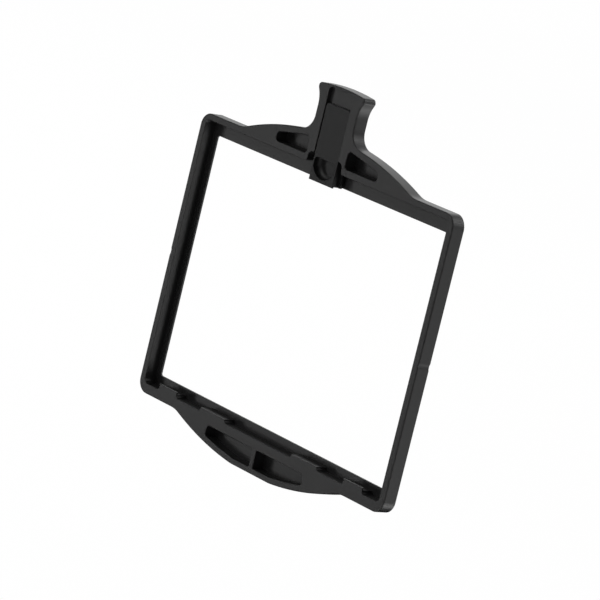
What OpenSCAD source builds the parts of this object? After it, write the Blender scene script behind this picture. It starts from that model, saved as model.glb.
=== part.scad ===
// Filter tray for a camera matte box: one machined frame with a finger handle, and a sprung
// latch that slides in the handle and holds the glass filter down against the bottom seats.
// X runs across the tray, Y from the front face to the back face, Z up towards the handle.
// The origin is the middle of the window, on the front face.

/* [Filter] */
// Width of the glass filter
filter_w = 143.5; // [136:0.5:150]
// Height of the glass filter
filter_h = 101.6; // [98:0.2:102.6]
// Play beside the filter, each side
side_play = 0.25; // [0.1:0.05:0.5]
// Play above the filter
top_play = 0.4; // [0.2:0.05:0.8]

/* [Frame] */
// Front-to-back thickness of the tray
tray_t = 5.6; // [5.6:0.1:7]
// Width of the rim beside the filter pocket
side_rim = 2.95; // [2.5:0.05:5]
// Height of the whole rectangular frame
tray_h = 109.6; // [109.2:0.1:114]
// Radius of the frame's four outer corners
corner_r = 5; // [3:0.5:6]
// Thickness of the thin lip behind the filter
lip_t = 0.8; // [0.6:0.1:1.2]
// Width of the lip that the filter rests against
lip_w = 2.85; // [2:0.05:3.5]
// Thickness of the two tabs in front of the filter's bottom edge
tab_t = 0.65; // [0.5:0.05:0.7]
// How far the tabs reach over the filter
tab_reach = 0.9; // [0.5:0.1:1.5]
// Depth of the relief pockets between the bottom seats
relief_d = 1.4; // [1:0.1:1.8]

/* [Handle] */
// Width of the handle at its neck
neck_w = 22.9; // [22.4:0.1:23.5]
// Width of the handle at its top corners
handle_w = 28.8; // [28:0.1:29.2]
// Height of the handle above the frame
handle_h = 27.43; // [27.43:0.1:32]
// Radius of the crowned top
crown_r = 102; // [80:1:110]
// Width at which the shoulders meet the frame
shoulder_w = 101; // [100.8:0.2:106]

/* [Belly] */
// How far the bottom edge bulges below the frame
belly_h = 8.95; // [8.85:0.05:10]
// Radius of the bulge
belly_r = 139.8; // [130:0.1:141]

/* [Latch] */
// Width of the slider
slider_w = 13.8; // [13.4:0.1:13.9]
// Travel of the slider, from fully down to fully up
travel = 5.6; // [4:0.1:5.8]
// Width of the thumb scoop
scoop_w = 12.4; // [10:0.2:12.4]
// Radius of the thumb scoop's round end
scoop_r = 6.8; // [6.5:0.1:8]
// Depth of the thumb scoop
scoop_d = 2.9; // [2.2:0.1:2.9]

/* [Hidden] */
$fn = 48;
over = 1;                                   // how far a cut runs past a face
overlap = 0.1;                              // how far one cut reaches into the next
arc_fineness = 14;                          // smaller gives outline arcs more facets

// Filter pocket and window
pocket_x = filter_w / 2 + side_play;        // side wall of the pocket
seat_z = 1.2 - filter_h / 2;                // top of the seats that carry the filter
filter_top_z = seat_z + filter_h;
pocket_top_z = filter_top_z + top_play;
floor_z = seat_z - relief_d;                // bottom of the relief pockets
pocket_d = tray_t - lip_t;                  // depth of the pocket, and of the recesses
tray_x = pocket_x + side_rim;
top_z = tray_h / 2;
window_x = pocket_x - lip_w;
window_top_z = pocket_top_z - 5.28;         // the lip is wider above and below the filter
window_bottom_z = floor_z + 3.9;
inner_seat = [20.5, 35.7];                  // seats either side of the middle
outer_seat = [51.3, 62.3];                  // seats with a tab in front
relief_r = relief_d - 0.25;                 // fillet at the foot of each seat
pocket_top_r = 1.5;
pocket_bottom_r = 2;
window_r = 1;
groove_mouth = 1.3;                         // half widths and depth of the edge grooves
groove_bottom = 0.6;
groove_d = 0.25;

// Handle outline, worked out from its crown
neck_x = neck_w / 2;
handle_x = handle_w / 2;
handle_tip_r = 1.5;
crown_z = top_z + handle_h;
crown_end = 2.6;                            // the crown ends this far in from the tip's corner
crown_a = asin((handle_x - crown_end) / crown_r);
crown_peak_z = crown_z + crown_r * (1 / cos(crown_a) - 1);
handle_tip_z = crown_peak_z - handle_x * tan(crown_a);
flare_z = top_z + 21.46;                    // height at which the neck turns out to the tips
flare_reach = 2.86;                         // length of the flare's curve, each way from its corner
flare_r = flare_reach / tan(atan((handle_x - neck_x) / (handle_tip_z - flare_z)) / 2);
neck_root_z = top_z + 9.13;
neck_root_r = 6.35;
shoulder_x = 33.5;
shoulder_z = top_z + 6.33;
shoulder_r = 130;
toe_r = 14;                                 // where shoulders and belly run out into the frame

// Belly outline, a wide arc cut off flat at the bottom
belly_z = -top_z - belly_h;
belly_cut = 0.49;                           // the flat takes this off the bottom of the arc
belly_centre_z = belly_z - belly_cut + belly_r;
belly_flat_a = acos((belly_centre_z - belly_z) / belly_r);
belly_end_a = 20.06;
belly_mid_a = (belly_flat_a + belly_end_a) / 2;
belly_mid_r = belly_r / cos(belly_end_a - belly_mid_a);
belly_toe_x = belly_r * sin(belly_end_a)
    + (belly_r * cos(belly_end_a) - belly_centre_z - top_z) / tan(belly_end_a);

// Recesses that lighten the handle root and the belly
recess_r = 1.5;
top_recess_x = [11.35, 30];
top_recess_z = top_z + 0.1;
top_recess_bend_x = 17.8;                   // the upper wall bends here, along the shoulder
top_recess_bend_r = 120;
top_recess_wall_z = [neck_root_z - 2.2, shoulder_z - 0.5, shoulder_z - 2.75];
belly_recess_x = [1.1, 29.7];
belly_recess_z = -top_z + 0.2;
belly_recess_r = 0.6;                       // corners beside the middle rib
belly_wall = 2.35;                          // wall left below the belly recess
belly_wall_x = [9, 11, 20.5];               // the lower wall is flat to the first, then faceted

// Latch track in the handle
track_x = slider_w / 2 + 0.2;               // half width of the slot that shows in front
track_top_z = crown_z - 1.05;
track_corner_r = 1.3;
mouth_x = 10.05;                             // half width of the wide mouth of the track
mouth_top_z = top_z + 1.7;
mouth_top_r = 2.3;
mouth_foot_r = 1.2;
tongue_slot_d = 1.4;                        // depth of the slot behind the tongue
track_d = 4;                                // depth of the slot behind the head
undercut_x = slider_w / 2 + 1.5;
undercut_y = 2.8;
track_end_z = top_z + 15.6;
channel_x = 1.45;                           // half width of the spring channel
channel_end_z = track_end_z + 4.1;

// Slider, with its levels at rest: fully down
slider_x = slider_w / 2;
slider_y = 0.35;                            // the slider sits this far below the front face
slider_top_z = track_top_z - travel - 0.35;
slider_corner_r = 1.3;
slider_bottom_z = filter_top_z + 0.1 - travel;    // fully up, it clears the top of the filter
hook_t = 0.7;                               // lip of the slider in front of the glass
hook_reach = 0.4;                           // how far that lip hangs below the pads
head_z = slider_bottom_z + hook_reach + 0.05;     // underside of the head, behind the hook
head_top_z = track_end_z - travel - 0.5;
head_back_y = 3.9;
tongue_back_y = 1.3;
wing_x = undercut_x - 0.15;
wing_y = undercut_y + 0.1;
scoop_x = scoop_w / 2;
scoop_z = slider_bottom_z + scoop_r + 1.35; // centre of the scoop's round end
scoop_top_z = slider_bottom_z + 8.65;
scoop_corner_r = 1;                         // upper corners of the scoop
scoop_fillet = 1.9;
nest_x = 1.35;                              // half width of the spring's nest in the slider
nest_z = slider_bottom_z + 10.1;
pad_x = [2.6, 6];
pad_y = [1.1, 3.5];
pad_z = [slider_bottom_z + hook_reach, slider_bottom_z + hook_reach + 0.6];

// Stop screws and their thread inserts
screw_x = 4.3;
screw_z = head_top_z - 4;
thread_r = 1;
insert_r = 1.6;
insert_y = 1.4;
screw_tip_y = 1.6;
stop_r = 1.3;                               // plain shank that runs in the stop slot
screw_head_r = 1.9;
screw_head_y = [4.7, 5.5];
driver_slot = [0.5, 0.35];                  // width and depth of the slot in the screw head
web_y = 4.65;                               // back of the web that the screw heads run on
slot_play = 0.1;
head_play = 0.15;

// Spring and the rod that it runs on
spring_y = 2.6;
spring_wire_r = 0.15;
spring_coil_r = 1.05;
spring_turns = 15;
spring_gap = 0.05;                          // gap at each end of the coil
rod_r = 0.6;
rod_z = [nest_z + travel + 0.5, channel_end_z + 3];
rod_bore_r = 0.59;                          // press fit for the rod

black = [0.13, 0.13, 0.135];
acetal = [0.09, 0.09, 0.095];
rubber = [0.05, 0.05, 0.05];
brass = [0.72, 0.58, 0.3];
steel = [0.62, 0.63, 0.65];

// ---------------------------------------------------------------- outlines

function unit(v) = v / norm(v);

// Arc that rounds the corner b between its neighbours a and c
function corner(a, b, c, r) =
    let (u = unit(a - b), v = unit(c - b),
         half = acos(u * v) / 2,
         centre = b + unit(u + v) * r / sin(half),
         from = b + u * r / tan(half) - centre,
         to = b + v * r / tan(half) - centre,
         start = atan2(from.y, from.x),
         turn = (atan2(to.y, to.x) - start + 540) % 360 - 180,
         steps = max(3, ceil(abs(turn) * sqrt(r) / arc_fineness)))
    [for (i = [0:steps])
        let (a = start + turn * i / steps)
        centre + r * [cos(a), sin(a)]];

// Outline from corners given as [x, z, radius]
function rounded(corners) =
    let (n = len(corners), at = [for (p = corners) [p[0], p[1]]])
    [for (i = [0:n - 1])
        each corners[i][2] == 0
            ? [at[i]]
            : corner(at[(i + n - 1) % n], at[i], at[(i + 1) % n], corners[i][2])];

// A right half, listed from the top down, and its mirror image
function both_halves(half) = concat(
    half,
    [for (i = [len(half) - 1:-1:0]) if (half[i][0] > 0) [-half[i][0], half[i][1], half[i][2]]]);

// Outer edge of the tray
tray_half = [
    [0, crown_peak_z, crown_r],
    [handle_x, handle_tip_z, handle_tip_r],
    [neck_x, flare_z, flare_r],
    [neck_x, neck_root_z, neck_root_r],
    [shoulder_x, shoulder_z, shoulder_r],
    [shoulder_w / 2, top_z, toe_r],
    [tray_x, top_z, corner_r],
    [tray_x, -top_z, corner_r],
    [belly_toe_x, -top_z, toe_r],
    [belly_mid_r * sin(belly_mid_a), belly_centre_z - belly_mid_r * cos(belly_mid_a), belly_r - 1],
    [belly_r * sin(belly_flat_a), belly_z, 0]
];

// Filter pocket with the mouth of the latch track above it; outer_z is the level at the outer seats
function pocket_half(outer_z) = [
    [mouth_x, mouth_top_z, mouth_top_r],
    [mouth_x, pocket_top_z, mouth_foot_r],
    [pocket_x, pocket_top_z, pocket_top_r],
    [pocket_x, floor_z, pocket_bottom_r],
    [outer_seat[1], floor_z, relief_r],
    [outer_seat[1], outer_z, 0],
    [outer_seat[0], outer_z, 0],
    [outer_seat[0], floor_z, relief_r],
    [inner_seat[1], floor_z, relief_r],
    [inner_seat[1], seat_z, 0],
    [inner_seat[0], seat_z, 0],
    [inner_seat[0], floor_z, relief_r]
];

window_half = [
    [window_x, window_top_z, window_r],
    [window_x, window_bottom_z, window_r]
];

tongue_slot_half = [
    [track_x, track_top_z, track_corner_r],
    [track_x, pocket_top_z - over, 0]
];

// Flat top and straight sides of the thumb scoop, measured from the centre of its round end
scoop_half = [
    [scoop_x, scoop_top_z - scoop_z, scoop_corner_r],
    [scoop_x, -scoop_r - over, 0]
];

tongue_half = [
    [slider_x, slider_top_z, slider_corner_r],
    [slider_x, head_top_z - over, 0]
];

top_recess = [
    [top_recess_x[0], top_recess_z, recess_r],
    [top_recess_x[0], top_recess_wall_z[0], recess_r],
    [top_recess_bend_x, top_recess_wall_z[1], top_recess_bend_r],
    [top_recess_x[1], top_recess_wall_z[2], recess_r],
    [top_recess_x[1], top_recess_z, recess_r]
];

// Height of the belly's inner wall at x
function belly_wall_z(x) = belly_centre_z - sqrt(pow(belly_r - belly_wall, 2) - x * x);

belly_recess = [
    [belly_recess_x[0], belly_recess_z, belly_recess_r],
    [belly_recess_x[0], belly_wall_z(belly_wall_x[0]), belly_recess_r],
    [belly_wall_x[1], belly_wall_z(belly_wall_x[0]), 0],
    [belly_wall_x[2], belly_wall_z(belly_wall_x[2]), 0],
    [belly_recess_x[1], belly_wall_z(belly_recess_x[1]), recess_r],
    [belly_recess_x[1], belly_recess_z, recess_r]
];

// ---------------------------------------------------------------- helpers

// A shape drawn in X and Z, standing between two depths
module slab(y0, y1) {
    translate([0, y1, 0]) rotate([90, 0, 0]) linear_extrude(y1 - y0) children();
}

module outline(corners) {
    polygon(rounded(corners));
}

// The same thing on the right and on the left
module both_sides() {
    children();
    mirror([1, 0, 0]) children();
}

// Round rod along Y
module rod_y(r, y0, y1) {
    slab(y0, y1) circle(r);
}

// Slot with round ends, upright, its lower centre at the origin
module obround(r, length) {
    circle(r);
    translate([0, length]) circle(r);
    translate([-r, 0]) square([2 * r, length]);
}

// Box between two corners
module block(low, high) {
    translate(low) cube(high - low);
}

// ---------------------------------------------------------------- frame

// Room for the slider: shallow behind its tongue, deep behind its head, wider at the wings
module latch_track() {
    start_z = pocket_top_z - over;
    slab(-over, tongue_slot_d) outline(both_halves(tongue_slot_half));
    block([-track_x, -over, start_z], [track_x, track_d, track_end_z]);
    block([-undercut_x, undercut_y, start_z], [undercut_x, track_d, track_end_z]);
    block([-channel_x, tongue_slot_d - overlap, track_end_z - overlap],
        [channel_x, track_d, channel_end_z]);
}

// Slot in the back wall that the stop screw runs in, with room for its head
module stop_slot() {
    translate([screw_x, 0, screw_z]) {
        slab(track_d - overlap, tray_t + over) obround(stop_r + slot_play, travel);
        slab(web_y, tray_t + over) obround(screw_head_r + head_play, travel);
    }
}

// Shallow locating groove across the outer edge
module edge_groove() {
    slab(-over, tray_t + over) polygon([
        [tray_x + over, groove_mouth],
        [tray_x, groove_mouth],
        [tray_x - groove_d, groove_bottom],
        [tray_x - groove_d, -groove_bottom],
        [tray_x, -groove_mouth],
        [tray_x + over, -groove_mouth]]);
}

// Hole above the spring channel that the guide rod is pressed into
module rod_bore() {
    low = channel_end_z - overlap;
    translate([0, spring_y, low]) cylinder(r = rod_bore_r, h = rod_z[1] - low);
}

module tray_frame() {
    color(black) difference() {
        slab(0, tray_t) outline(both_halves(tray_half));
        slab(-over, tab_t) outline(both_halves(pocket_half(seat_z + tab_reach)));
        slab(tab_t - overlap, pocket_d) outline(both_halves(pocket_half(seat_z)));
        slab(pocket_d - overlap, tray_t + over) outline(both_halves(window_half));
        latch_track();
        rod_bore();
        both_sides() {
            slab(-over, pocket_d) outline(top_recess);
            slab(-over, pocket_d) outline(belly_recess);
            stop_slot();
            edge_groove();
        }
    }
}

// ---------------------------------------------------------------- latch

// Half section of the scoop, reach against depth, with a rounded foot
function scoop_section(reach) = concat(
    [[0, -over], [reach, -over]],
    [for (a = [0:15:90])
        [reach - scoop_fillet * (1 - cos(a)), scoop_d - scoop_fillet * (1 - sin(a))]],
    [[0, scoop_d]]);

// Thumb scoop: straight at the sides, round at the bottom, flat at the top
module thumb_scoop() {
    far = scoop_r + over;
    translate([0, slider_y, scoop_z]) intersection() {
        rotate([-90, 0, 0]) rotate_extrude($fn = 96) polygon(scoop_section(scoop_r));
        both_sides()
            translate([0, 0, -far]) linear_extrude(2 * far) polygon(scoop_section(scoop_x));
        slab(-far, far) outline(both_halves(scoop_half));
    }
}

// Tongue, head, the hook in front of the glass and the two wings that run in the undercuts
module slider_blank() {
    slab(slider_y, tongue_back_y) outline(both_halves(tongue_half));
    block([-slider_x, slider_y, head_z], [slider_x, head_back_y, head_top_z]);
    block([-slider_x, slider_y, slider_bottom_z], [slider_x, slider_y + hook_t, head_z + overlap]);
    block([-wing_x, wing_y, head_z], [wing_x, head_back_y, head_top_z]);
}

module latch_slider() {
    color(acetal) difference() {
        slider_blank();
        thumb_scoop();
        block([-nest_x, tongue_back_y + overlap, nest_z],
            [nest_x, head_back_y + over, head_top_z + over]);
        both_sides() {
            translate([screw_x, 0, screw_z]) rod_y(insert_r, insert_y, head_back_y + over);
            block([pad_x[0], pad_y[0], head_z - over], [pad_x[1], pad_y[1], pad_z[1]]);
        }
    }
}

module latch_pads() {
    color(rubber) both_sides()
        block([pad_x[0], pad_y[0], pad_z[0]], [pad_x[1], pad_y[1], pad_z[1]]);
}

module thread_inserts() {
    color(brass) both_sides() translate([screw_x, 0, screw_z]) difference() {
        rod_y(insert_r, insert_y, head_back_y);
        rod_y(thread_r, insert_y - over, head_back_y + over);
    }
}

module stop_screws() {
    slot_far = screw_head_r + over;
    slot_half = driver_slot[0] / 2;
    color(steel) both_sides() translate([screw_x, 0, screw_z]) difference() {
        union() {
            rod_y(thread_r, screw_tip_y, head_back_y);
            rod_y(stop_r, head_back_y, screw_head_y[0]);
            rod_y(screw_head_r, screw_head_y[0], screw_head_y[1]);
        }
        block([-slot_far, screw_head_y[1] - driver_slot[1], -slot_half],
            [slot_far, screw_head_y[1] + over, slot_half]);
    }
}

// ---------------------------------------------------------------- spring

// Closed coil made of rings of wire along a helix
module latch_spring() {
    sides = 6;
    per_turn = 12;
    rings = spring_turns * per_turn;
    low = nest_z + spring_gap + spring_wire_r;
    high = channel_end_z - spring_gap - spring_wire_r;
    points = [
        for (i = [0:rings])
            let (a = 360 * i / per_turn, z = low + (high - low) * i / rings)
            for (j = [0:sides - 1])
                let (b = 360 * j / sides, r = spring_coil_r + spring_wire_r * cos(b))
                [r * cos(a), spring_y + r * sin(a), z + spring_wire_r * sin(b)]];
    skin = [
        for (i = [0:rings - 1])
            for (j = [0:sides - 1])
                let (k = (j + 1) % sides)
                [i * sides + j, i * sides + k, (i + 1) * sides + k, (i + 1) * sides + j]];
    start_cap = [for (j = [sides - 1:-1:0]) j];
    end_cap = [for (j = [0:sides - 1]) rings * sides + j];
    color(steel) polyhedron(points, concat(skin, [start_cap, end_cap]));
}

module spring_guide_rod() {
    color(steel) translate([0, spring_y, rod_z[0]]) cylinder(r = rod_r, h = rod_z[1] - rod_z[0]);
}

tray_frame();
latch_slider();
latch_pads();
thread_inserts();
stop_screws();
latch_spring();
spring_guide_rod();
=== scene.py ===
"""Looks for the matte box filter tray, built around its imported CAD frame. Metres, Z up."""

import math

import bmesh
import bpy
from mathutils import Matrix, Vector


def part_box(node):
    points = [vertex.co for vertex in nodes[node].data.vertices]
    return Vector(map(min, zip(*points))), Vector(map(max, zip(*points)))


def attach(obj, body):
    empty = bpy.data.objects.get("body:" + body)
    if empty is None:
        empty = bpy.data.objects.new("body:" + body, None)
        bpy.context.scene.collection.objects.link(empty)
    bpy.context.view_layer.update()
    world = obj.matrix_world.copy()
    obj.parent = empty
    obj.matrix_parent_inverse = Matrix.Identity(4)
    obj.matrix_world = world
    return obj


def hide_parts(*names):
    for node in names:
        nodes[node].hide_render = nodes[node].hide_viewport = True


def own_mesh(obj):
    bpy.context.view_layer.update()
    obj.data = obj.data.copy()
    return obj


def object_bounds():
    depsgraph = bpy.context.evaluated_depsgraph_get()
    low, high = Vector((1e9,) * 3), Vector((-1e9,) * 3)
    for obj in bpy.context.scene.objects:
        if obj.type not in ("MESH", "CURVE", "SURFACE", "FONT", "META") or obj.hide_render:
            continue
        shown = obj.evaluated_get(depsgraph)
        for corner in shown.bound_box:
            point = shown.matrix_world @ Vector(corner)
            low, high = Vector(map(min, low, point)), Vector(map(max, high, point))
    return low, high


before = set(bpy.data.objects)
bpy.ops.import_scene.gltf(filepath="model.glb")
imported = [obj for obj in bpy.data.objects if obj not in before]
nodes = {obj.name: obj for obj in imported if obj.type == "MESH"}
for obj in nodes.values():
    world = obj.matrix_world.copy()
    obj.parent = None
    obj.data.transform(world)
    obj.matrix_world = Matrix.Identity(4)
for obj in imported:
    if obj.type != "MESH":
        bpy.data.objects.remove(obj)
cad_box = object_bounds()

MM = 0.001

# Camera: where it aims on the tray's front face, and the view angles in degrees
AIM = Vector((4.96 * MM, 0.0, 3.96 * MM))
VIEW_AZIMUTH = 49.408
VIEW_ELEVATION = 9.802
VIEW_ROLL = 13.749
VIEW_DISTANCE = 1.4444
LENS_MM = 239.335

# Radii of the machined edges, and the steps that round them
OUTER_EDGE = 0.45 * MM
BACK_EDGE = 0.3 * MM
RECESS_EDGE = 0.25 * MM
POCKET_EDGE = 0.15 * MM
SLIDER_EDGE = 0.12 * MM
SMALL_EDGE = 0.08 * MM
FRAME_STEPS = 4
SLIDER_STEPS = 3

# Shading: walls that meet at more than these angles, in degrees, keep a visible edge
ROUND_SHARP = 32
FRAME_SHARP = 18.5                          # the slopes of the edge grooves stay crisp
BEVEL_SHARP = 35
FLAT_ANGLE = 0.6                            # triangles within this angle are one flat face
FLAT_SHARE = 100                            # full say for large faces in a shared normal

# The weighted-normal modifier's own name and value for how much say a face has in a normal
NORMAL_SAY = "__mod_weightednormals_faceweight"
STRONG = 16384

CLOSE = 0.002 * MM                          # points nearer than this are one point
FLOOR_DROP = 0.35                           # how far the floor lies below the tray
FLOOR_HALF = 12.0
IOR = 1.5
ACETAL_SPECULAR = 0.33


# ---------------------------------------------------------------- node helpers


def new_material(name):
    """A material with its Principled shader, and functions that add and wire nodes."""
    mat = bpy.data.materials.new(name)
    mat.use_nodes = True
    tree = mat.node_tree
    shader = tree.nodes["Principled BSDF"]

    def put(node, key, value):
        socket = node.inputs[key]
        if isinstance(value, bpy.types.NodeSocket):
            tree.links.new(value, socket)
        else:
            socket.default_value = value

    def add(kind, **sockets):
        node = tree.nodes.new(kind)
        for key, value in sockets.items():
            put(node, key.replace("_", " "), value)
        return node

    return mat, shader, add, put


def ramp(add, factor, stops):
    """Colour ramp from (position, grey or colour) stops."""
    node = add("ShaderNodeValToRGB", Fac=factor)
    line = node.color_ramp
    while len(line.elements) < len(stops):
        line.elements.new(0.5)
    for element, (place, value) in zip(line.elements, stops):
        colour = (value, value, value) if isinstance(value, (int, float)) else value
        element.position = place
        element.color = (*colour, 1.0)
    return node.outputs["Color"]


def noise(add, where, scale, detail=2.0, roughness=0.5):
    """Noise value, with its scale in waves per metre."""
    node = add("ShaderNodeTexNoise", Vector=where, Scale=scale, Detail=detail, Roughness=roughness)
    return node.outputs["Fac"]


def stretched(add, where, factors):
    """Coordinates scaled by three factors, for grain that runs one way."""
    node = add("ShaderNodeVectorMath")
    node.operation = "MULTIPLY"
    node.id_data.links.new(where, node.inputs[0])
    node.inputs[1].default_value = factors
    return node.outputs["Vector"]


def bumped(add, heights):
    """Chain of bumps from (height socket, distance in metres, strength)."""
    last = None
    for height, distance, strength in heights:
        node = add("ShaderNodeBump", Height=height, Distance=distance, Strength=strength)
        if last is not None:
            node.id_data.links.new(last, node.inputs["Normal"])
        last = node.outputs["Normal"]
    return last


# ---------------------------------------------------------------- materials


def anodised(name, worn=False):
    """Bead-blasted, black anodised aluminium. Worn, it is the rubbed skin of an edge."""
    mat, shader, add, put = new_material(name)
    where = add("ShaderNodeTexCoord").outputs["Object"]
    cloud = noise(add, where, 45.0, 3.0)
    blast = noise(add, where, 9000.0, 2.0, 0.6)
    dent = noise(add, where, 2600.0, 1.0)
    if worn:
        rub = noise(add, where, 420.0, 4.0, 0.7)
        put(shader, "Base Color", ramp(add, rub, [
            (0.45, (0.0105, 0.0105, 0.0108)), (0.75, (0.022, 0.0215, 0.021))]))
        put(shader, "Roughness", ramp(add, rub, [(0.4, 0.43), (0.75, 0.36)]))
    else:
        put(shader, "Base Color", ramp(add, cloud, [
            (0.3, (0.0098, 0.0098, 0.0100)), (0.7, (0.0110, 0.0110, 0.0112))]))
        put(shader, "Roughness", ramp(add, cloud, [(0.3, 0.43), (0.7, 0.445)]))
    put(shader, "IOR", IOR)
    put(shader, "Normal", bumped(add, [(blast, 0.002 * MM, 0.5), (dent, 0.003 * MM, 0.25)]))
    return mat


def acetal(name):
    """Machined black acetal, a little duller than the frame, with cutter lines across it."""
    mat, shader, add, put = new_material(name)
    where = add("ShaderNodeTexCoord").outputs["Object"]
    lines = noise(add, stretched(add, where, (60.0, 900.0, 5200.0)), 1.0, 2.0)
    grain = noise(add, where, 5000.0, 2.0)
    cloud = noise(add, where, 120.0, 3.0)
    put(shader, "Base Color", ramp(add, cloud, [
        (0.3, (0.0075, 0.0075, 0.0078)), (0.7, (0.0095, 0.0095, 0.0098))]))
    put(shader, "Roughness", ramp(add, lines, [(0.3, 0.43), (0.7, 0.48)]))
    put(shader, "IOR", IOR)
    put(shader, "Specular IOR Level", ACETAL_SPECULAR)
    put(shader, "Normal", bumped(add, [(lines, 0.0015 * MM, 0.4), (grain, 0.0015 * MM, 0.3)]))
    return mat


def rubber(name):
    """Matt silicone with a fine moulded texture."""
    mat, shader, add, put = new_material(name)
    where = add("ShaderNodeTexCoord").outputs["Object"]
    skin = noise(add, where, 3500.0, 3.0, 0.6)
    put(shader, "Base Color", ramp(add, skin, [(0.3, 0.008), (0.7, 0.013)]))
    put(shader, "Roughness", ramp(add, skin, [(0.3, 0.72), (0.7, 0.85)]))
    put(shader, "Normal", bumped(add, [(skin, 0.006 * MM, 0.4)]))
    return mat


def turned_metal(name, dark, light, rough, squeeze):
    """Metal with cutting lines; squeeze packs the lines along one axis of the part."""
    mat, shader, add, put = new_material(name)
    where = add("ShaderNodeTexCoord").outputs["Object"]
    lines = noise(add, stretched(add, where, squeeze), 1.0, 2.0)
    stain = noise(add, where, 900.0, 3.0)
    put(shader, "Base Color", ramp(add, stain, [(0.3, dark), (0.7, light)]))
    put(shader, "Metallic", 1.0)
    put(shader, "Roughness", ramp(add, lines, [(0.3, rough), (0.7, rough + 0.1)]))
    put(shader, "Normal", bumped(add, [(lines, 0.002 * MM, 0.5)]))
    return mat


ALONG_Y = (300.0, 9000.0, 300.0)
ALONG_Z = (300.0, 300.0, 9000.0)
FRAME = anodised("frame_anodised")
FRAME_EDGE = anodised("frame_anodised_edge", worn=True)
ACETAL = acetal("latch_acetal")
RUBBER = rubber("pad_rubber")
BRASS = turned_metal("insert_brass", (0.52, 0.37, 0.14), (0.68, 0.51, 0.22), 0.28, ALONG_Y)
OXIDE = turned_metal("screw_black_oxide", (0.045, 0.046, 0.05), (0.075, 0.075, 0.08), 0.34, ALONG_Y)
SPRING = turned_metal("spring_wire", (0.42, 0.42, 0.43), (0.58, 0.58, 0.58), 0.24, ALONG_Z)
ROD = turned_metal("ground_rod", (0.5, 0.5, 0.51), (0.63, 0.63, 0.64), 0.2, ALONG_Z)


# ---------------------------------------------------------------- machined edges


def flat_copy(node):
    """The CAD node's mesh with its double points joined."""
    mesh = bmesh.new()
    mesh.from_mesh(nodes[node].data)
    bmesh.ops.remove_doubles(mesh, verts=mesh.verts, dist=CLOSE)
    return mesh


def open_face(mesh, depth):
    """Takes away the flat face at one depth and returns the closed loops of its rims."""
    there = [f for f in mesh.faces if all(abs(v.co.y - depth) < CLOSE for v in f.verts)]
    bmesh.ops.delete(mesh, geom=there, context="FACES")
    left = {e for e in mesh.edges if e.is_boundary}
    loops = []
    while left:
        edge = left.pop()
        first, last = edge.verts
        loop = [(last, edge)]
        while last != first:
            edge = next(e for e in last.link_edges if e in left)
            left.discard(edge)
            last = edge.other_vert(last)
            loop.append((last, edge))
        loops.append(loop)
    return loops


def width(loop):
    """Extent of a rim along X."""
    return max(v.co.x for v, _ in loop) - min(v.co.x for v, _ in loop)


def into_material(loop):
    """For each point of a rim, the mitred direction that leads away from its walls."""
    walls = [edge.link_faces[0].normal.copy() for _, edge in loop]
    result = []
    for i, before in enumerate(walls):
        after = walls[(i + 1) % len(walls)]
        result.append(-(before + after) / (1.0 + before.dot(after)))
    return result


def round_rim(mesh, loop, radius, outwards, steps):
    """Turns a rim into a quarter round and returns the edges that bound its flat face."""
    inwards = into_material(loop)
    ring = [v for v, _ in loop]
    count = len(ring)
    feet = [v.co.copy() - outwards * radius for v in ring]
    for vert, foot in zip(ring, feet):
        vert.co = foot
    for step in range(1, steps + 1):
        turn = math.pi / 2 * step / steps
        side, rise = radius * (1.0 - math.cos(turn)), radius * math.sin(turn)
        higher = [mesh.verts.new(f + d * side + outwards * rise) for f, d in zip(feet, inwards)]
        for i in range(count):
            k = (i + 1) % count
            face = mesh.faces.new((ring[i], ring[k], higher[k], higher[i]))
            face.material_index = 1
        ring = higher
    return [mesh.edges.get((ring[i], ring[(i + 1) % count])) for i in range(count)]


def machined(node, name, body, skins, radii, steps, sharp):
    """A piece that stands for a CAD node, with the rims of its flat faces rounded.

    radii holds, for each such face, its depth, the direction out of it and a function that
    gives the radius of each rim. Walls that meet at more than sharp degrees keep their edge.
    """
    mesh = flat_copy(node)
    for depth, out, radius_of in radii:
        outwards = Vector((0.0, out, 0.0))
        mesh.normal_update()
        loops = open_face(mesh, depth)
        widest = max(loops, key=width)
        rims = []
        for loop in loops:
            rims += round_rim(mesh, loop, radius_of(loop, loop is widest), outwards, steps)
        bmesh.ops.triangle_fill(mesh, use_beauty=True, edges=rims, normal=outwards)
    bmesh.ops.recalc_face_normals(mesh, faces=mesh.faces)
    for face in mesh.faces:
        face.smooth = True
    for edge in mesh.edges:
        rounded = any(f.material_index == 1 for f in edge.link_faces)
        limit = ROUND_SHARP if rounded else sharp
        edge.smooth = edge.calc_face_angle(0.0) < math.radians(limit)
    say = mesh.faces.layers.int.new(NORMAL_SAY)
    for face in mesh.faces:
        face[say] = -STRONG if face.material_index == 1 else STRONG
    data = bpy.data.meshes.new(name)
    mesh.to_mesh(data)
    mesh.free()
    for skin in skins:
        data.materials.append(skin)
    piece = bpy.data.objects.new(name, data)
    bpy.context.scene.collection.objects.link(piece)
    normals = piece.modifiers.new("normals", "WEIGHTED_NORMAL")
    normals.keep_sharp = True
    normals.use_face_influence = True
    normals.weight = FLAT_SHARE
    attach(piece, body)
    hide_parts(node)
    return piece


def tray():
    """The tray, with its outer edges rounded more than those of its recesses and its pocket."""
    low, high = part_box("tray_frame")

    def front(loop, outer):
        if outer:
            return OUTER_EDGE
        one_side = min(v.co.x for v, _ in loop) * max(v.co.x for v, _ in loop) > 0
        return RECESS_EDGE if one_side else POCKET_EDGE

    def back(loop, outer):
        return BACK_EDGE if outer else POCKET_EDGE

    machined("tray_frame", "machined_frame", "frame", (FRAME, FRAME_EDGE),
             [(low[1], -1.0, front), (high[1], 1.0, back)], FRAME_STEPS, FRAME_SHARP)


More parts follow.
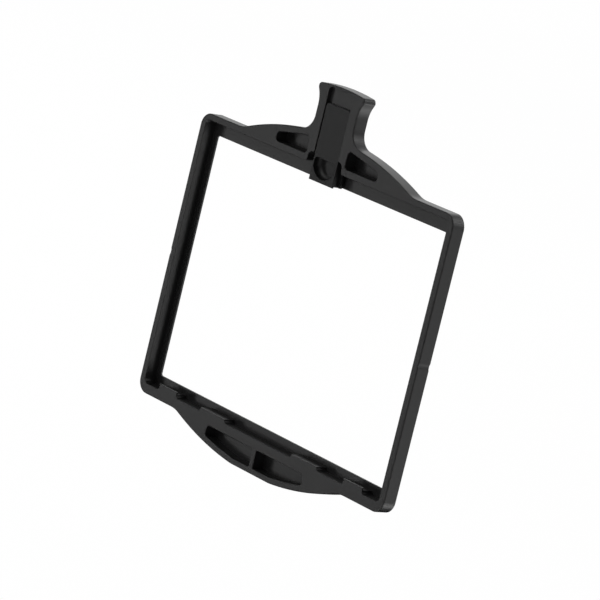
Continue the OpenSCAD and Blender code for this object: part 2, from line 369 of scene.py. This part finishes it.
def slider():
    """The slider, with the front edges of its tongue and its thumb scoop broken."""
    low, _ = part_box("latch_slider")
    machined("latch_slider", "thumb_slider", "latch", (ACETAL, ACETAL),
             [(low[1], -1.0, lambda loop, outer: SLIDER_EDGE)], SLIDER_STEPS, ROUND_SHARP)


# ---------------------------------------------------------------- spring


def coil_spring():
    """Smooth wire coil with closed ends, in the place of the CAD spring."""
    low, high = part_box("latch_spring")
    rod_low, rod_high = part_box("spring_guide_rod")
    centre = Vector(((rod_low[0] + rod_high[0]) / 2, (rod_low[1] + rod_high[1]) / 2, 0.0))
    wire = 0.15 * MM
    radius = (high[0] - low[0]) / 2 - wire
    turns, per_turn, sides = 15, 40, 12
    count = turns * per_turn
    bottom, top = low[2] + wire, high[2] - wire
    closed = 1.2 / turns                       # share of the coil that is closed at each end
    pitch_closed = 2.15 * wire * turns         # rise per share of the coil where it is closed
    pitch_open = (top - bottom - 2 * closed * pitch_closed) / (1 - 2 * closed)

    def height(share):
        rise = min(share, closed) + max(0.0, share - (1 - closed))
        middle = max(0.0, min(share, 1 - closed) - closed)
        return bottom + pitch_closed * rise + pitch_open * middle

    mesh = bmesh.new()
    rings = []
    for i in range(count + 1):
        share = i / count
        a = 2 * math.pi * turns * share
        out = Vector((math.cos(a), math.sin(a), 0.0))
        core = centre + out * radius + Vector((0.0, 0.0, height(share)))
        ring = []
        for j in range(sides):
            b = 2 * math.pi * j / sides
            ring.append(mesh.verts.new(core + out * (wire * math.cos(b))
                                       + Vector((0.0, 0.0, wire * math.sin(b)))))
        rings.append(ring)
    for one, two in zip(rings, rings[1:]):
        for j in range(sides):
            k = (j + 1) % sides
            mesh.faces.new((one[j], one[k], two[k], two[j])).smooth = True
    mesh.faces.new(rings[0])
    mesh.faces.new(rings[-1])
    bmesh.ops.recalc_face_normals(mesh, faces=mesh.faces)
    data = bpy.data.meshes.new("coil_spring")
    mesh.to_mesh(data)
    mesh.free()
    data.materials.append(SPRING)
    piece = bpy.data.objects.new("coil_spring", data)
    bpy.context.scene.collection.objects.link(piece)
    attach(piece, "frame")
    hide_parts("latch_spring")
    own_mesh(piece)


# ---------------------------------------------------------------- small CAD nodes


def finish_node(node, skin):
    """Gives a CAD node its material and breaks its sharp edges with modifiers."""
    obj = nodes[node]
    obj.data.materials.clear()
    obj.data.materials.append(skin)
    for polygon in obj.data.polygons:
        polygon.use_smooth = True
    weld = obj.modifiers.new("weld", "WELD")
    weld.merge_threshold = CLOSE
    flat = obj.modifiers.new("flat", "DECIMATE")
    flat.decimate_type = "DISSOLVE"
    flat.angle_limit = math.radians(FLAT_ANGLE)
    bevel = obj.modifiers.new("edges", "BEVEL")
    bevel.width = SMALL_EDGE
    bevel.segments = 2
    bevel.limit_method = "ANGLE"
    bevel.angle_limit = math.radians(BEVEL_SHARP)
    bevel.offset_type = "WIDTH"
    bevel.loop_slide = False
    normals = obj.modifiers.new("normals", "WEIGHTED_NORMAL")
    normals.weight = FLAT_SHARE


# ---------------------------------------------------------------- camera and stage


def camera():
    """Long lens from the right of the tray and a little above it, leaning to the left."""
    data = bpy.data.cameras.new("camera")
    data.lens = LENS_MM
    data.sensor_width = 36.0
    data.clip_start, data.clip_end = 0.05, 100.0
    obj = bpy.data.objects.new("camera", data)
    bpy.context.scene.collection.objects.link(obj)
    back = towards(VIEW_AZIMUTH, VIEW_ELEVATION)
    turn = (-back).to_track_quat("-Z", "Y").to_matrix()
    roll = Matrix.Rotation(math.radians(VIEW_ROLL), 3, "Z")
    place = (turn @ roll).to_4x4()
    place.translation = AIM + back * VIEW_DISTANCE
    obj.matrix_world = place
    bpy.context.scene.camera = obj


def towards(azimuth, elevation):
    """Unit vector: azimuth 0 is in front of the tray (-Y), 90 to its right (+X). Degrees."""
    a, e = math.radians(azimuth), math.radians(elevation)
    return Vector((math.sin(a) * math.cos(e), -math.cos(a) * math.cos(e), math.sin(e)))


def floor():
    """White table far below the tray. It is lit evenly and doesn't reflect in the tray."""
    mesh = bmesh.new()
    bmesh.ops.create_grid(mesh, x_segments=24, y_segments=24, size=FLOOR_HALF)
    data = bpy.data.meshes.new("floor")
    mesh.to_mesh(data)
    mesh.free()
    obj = bpy.data.objects.new("floor", data)
    bpy.context.scene.collection.objects.link(obj)
    obj.location.z = cad_box[0][2] - FLOOR_DROP
    mat, shader, add, put = new_material("floor_white")
    where = add("ShaderNodeTexCoord").outputs["Object"]
    put(shader, "Base Color", (0.0, 0.0, 0.0, 1.0))
    put(shader, "Specular IOR Level", 0.0)
    put(shader, "Emission Color", ramp(add, noise(add, where, 0.4), [(0.3, 0.99), (0.7, 1.0)]))
    put(shader, "Emission Strength", 1.0)
    data.materials.append(mat)
    obj.visible_diffuse = False
    obj.visible_glossy = False
    obj.visible_shadow = False


# Soft lights of the studio dome: azimuth, elevation, sharpness and strength
DOME_LIGHTS = {
    "key strip, near end": (-46, -14, 600, 5.4),
    "key strip, middle": (-54, -9, 600, 4.3),
    "key strip, far end": (-52, -4, 600, 5.4),
    "key glow": (-50, -10, 130, 0.8),
    "front sky": (-27, 39, 15, 2.5),
    "front floor": (33, -35, 15, 1.4),
    "front floor, left": (-20, -45, 60, 6.0),
    "front fill": (45, 4, 15, 0.65),
    "side strip": (128, 0, 500, 8.7),
    "side floor": (137, -40, 60, 8.0),
    "side floor, near": (125, -29, 60, 2.8),
    "side floor, high": (140, -20, 60, 1.2),
    "side sky": (122, 34, 60, 4.6),
    "back left": (-140, 19, 15, 2.1),
    "back top": (180, 20, 60, 25.0),
}


def studio():
    """Studio dome: white to the camera, and soft lobes of light for the object."""
    dome = bpy.data.worlds.new("studio")
    dome.use_nodes = True
    tree = dome.node_tree
    background = tree.nodes["Background"]
    where = tree.nodes.new("ShaderNodeTexCoord").outputs["Generated"]

    def calculate(kind, *values):
        """A maths node fed by sockets or plain numbers."""
        node = tree.nodes.new("ShaderNodeMath")
        node.operation = kind
        for socket, value in zip(node.inputs, values):
            if isinstance(value, bpy.types.NodeSocket):
                tree.links.new(value, socket)
            else:
                socket.default_value = value
        return node.outputs[0]

    total = 0.0
    for azimuth, elevation, sharpness, strength in DOME_LIGHTS.values():
        along = tree.nodes.new("ShaderNodeVectorMath")
        along.operation = "DOT_PRODUCT"
        tree.links.new(where, along.inputs[0])
        along.inputs[1].default_value = towards(azimuth, elevation)
        away = calculate("SUBTRACT", along.outputs["Value"], 1.0)
        fall = calculate("EXPONENT", calculate("MULTIPLY", away, sharpness))
        total = calculate("ADD", total, calculate("MULTIPLY", fall, strength))
    seen = tree.nodes.new("ShaderNodeLightPath").outputs["Is Camera Ray"]
    tree.links.new(calculate("MAXIMUM", total, seen), background.inputs["Strength"])
    background.inputs["Color"].default_value = (1.0, 1.0, 1.0, 1.0)
    bpy.context.scene.world = dome
    bpy.context.scene.view_settings.view_transform = "Standard"


tray()
slider()
coil_spring()
finish_node("latch_pads", RUBBER)
finish_node("thread_inserts", BRASS)
finish_node("stop_screws", OXIDE)
finish_node("spring_guide_rod", ROD)
camera()
floor()
studio()
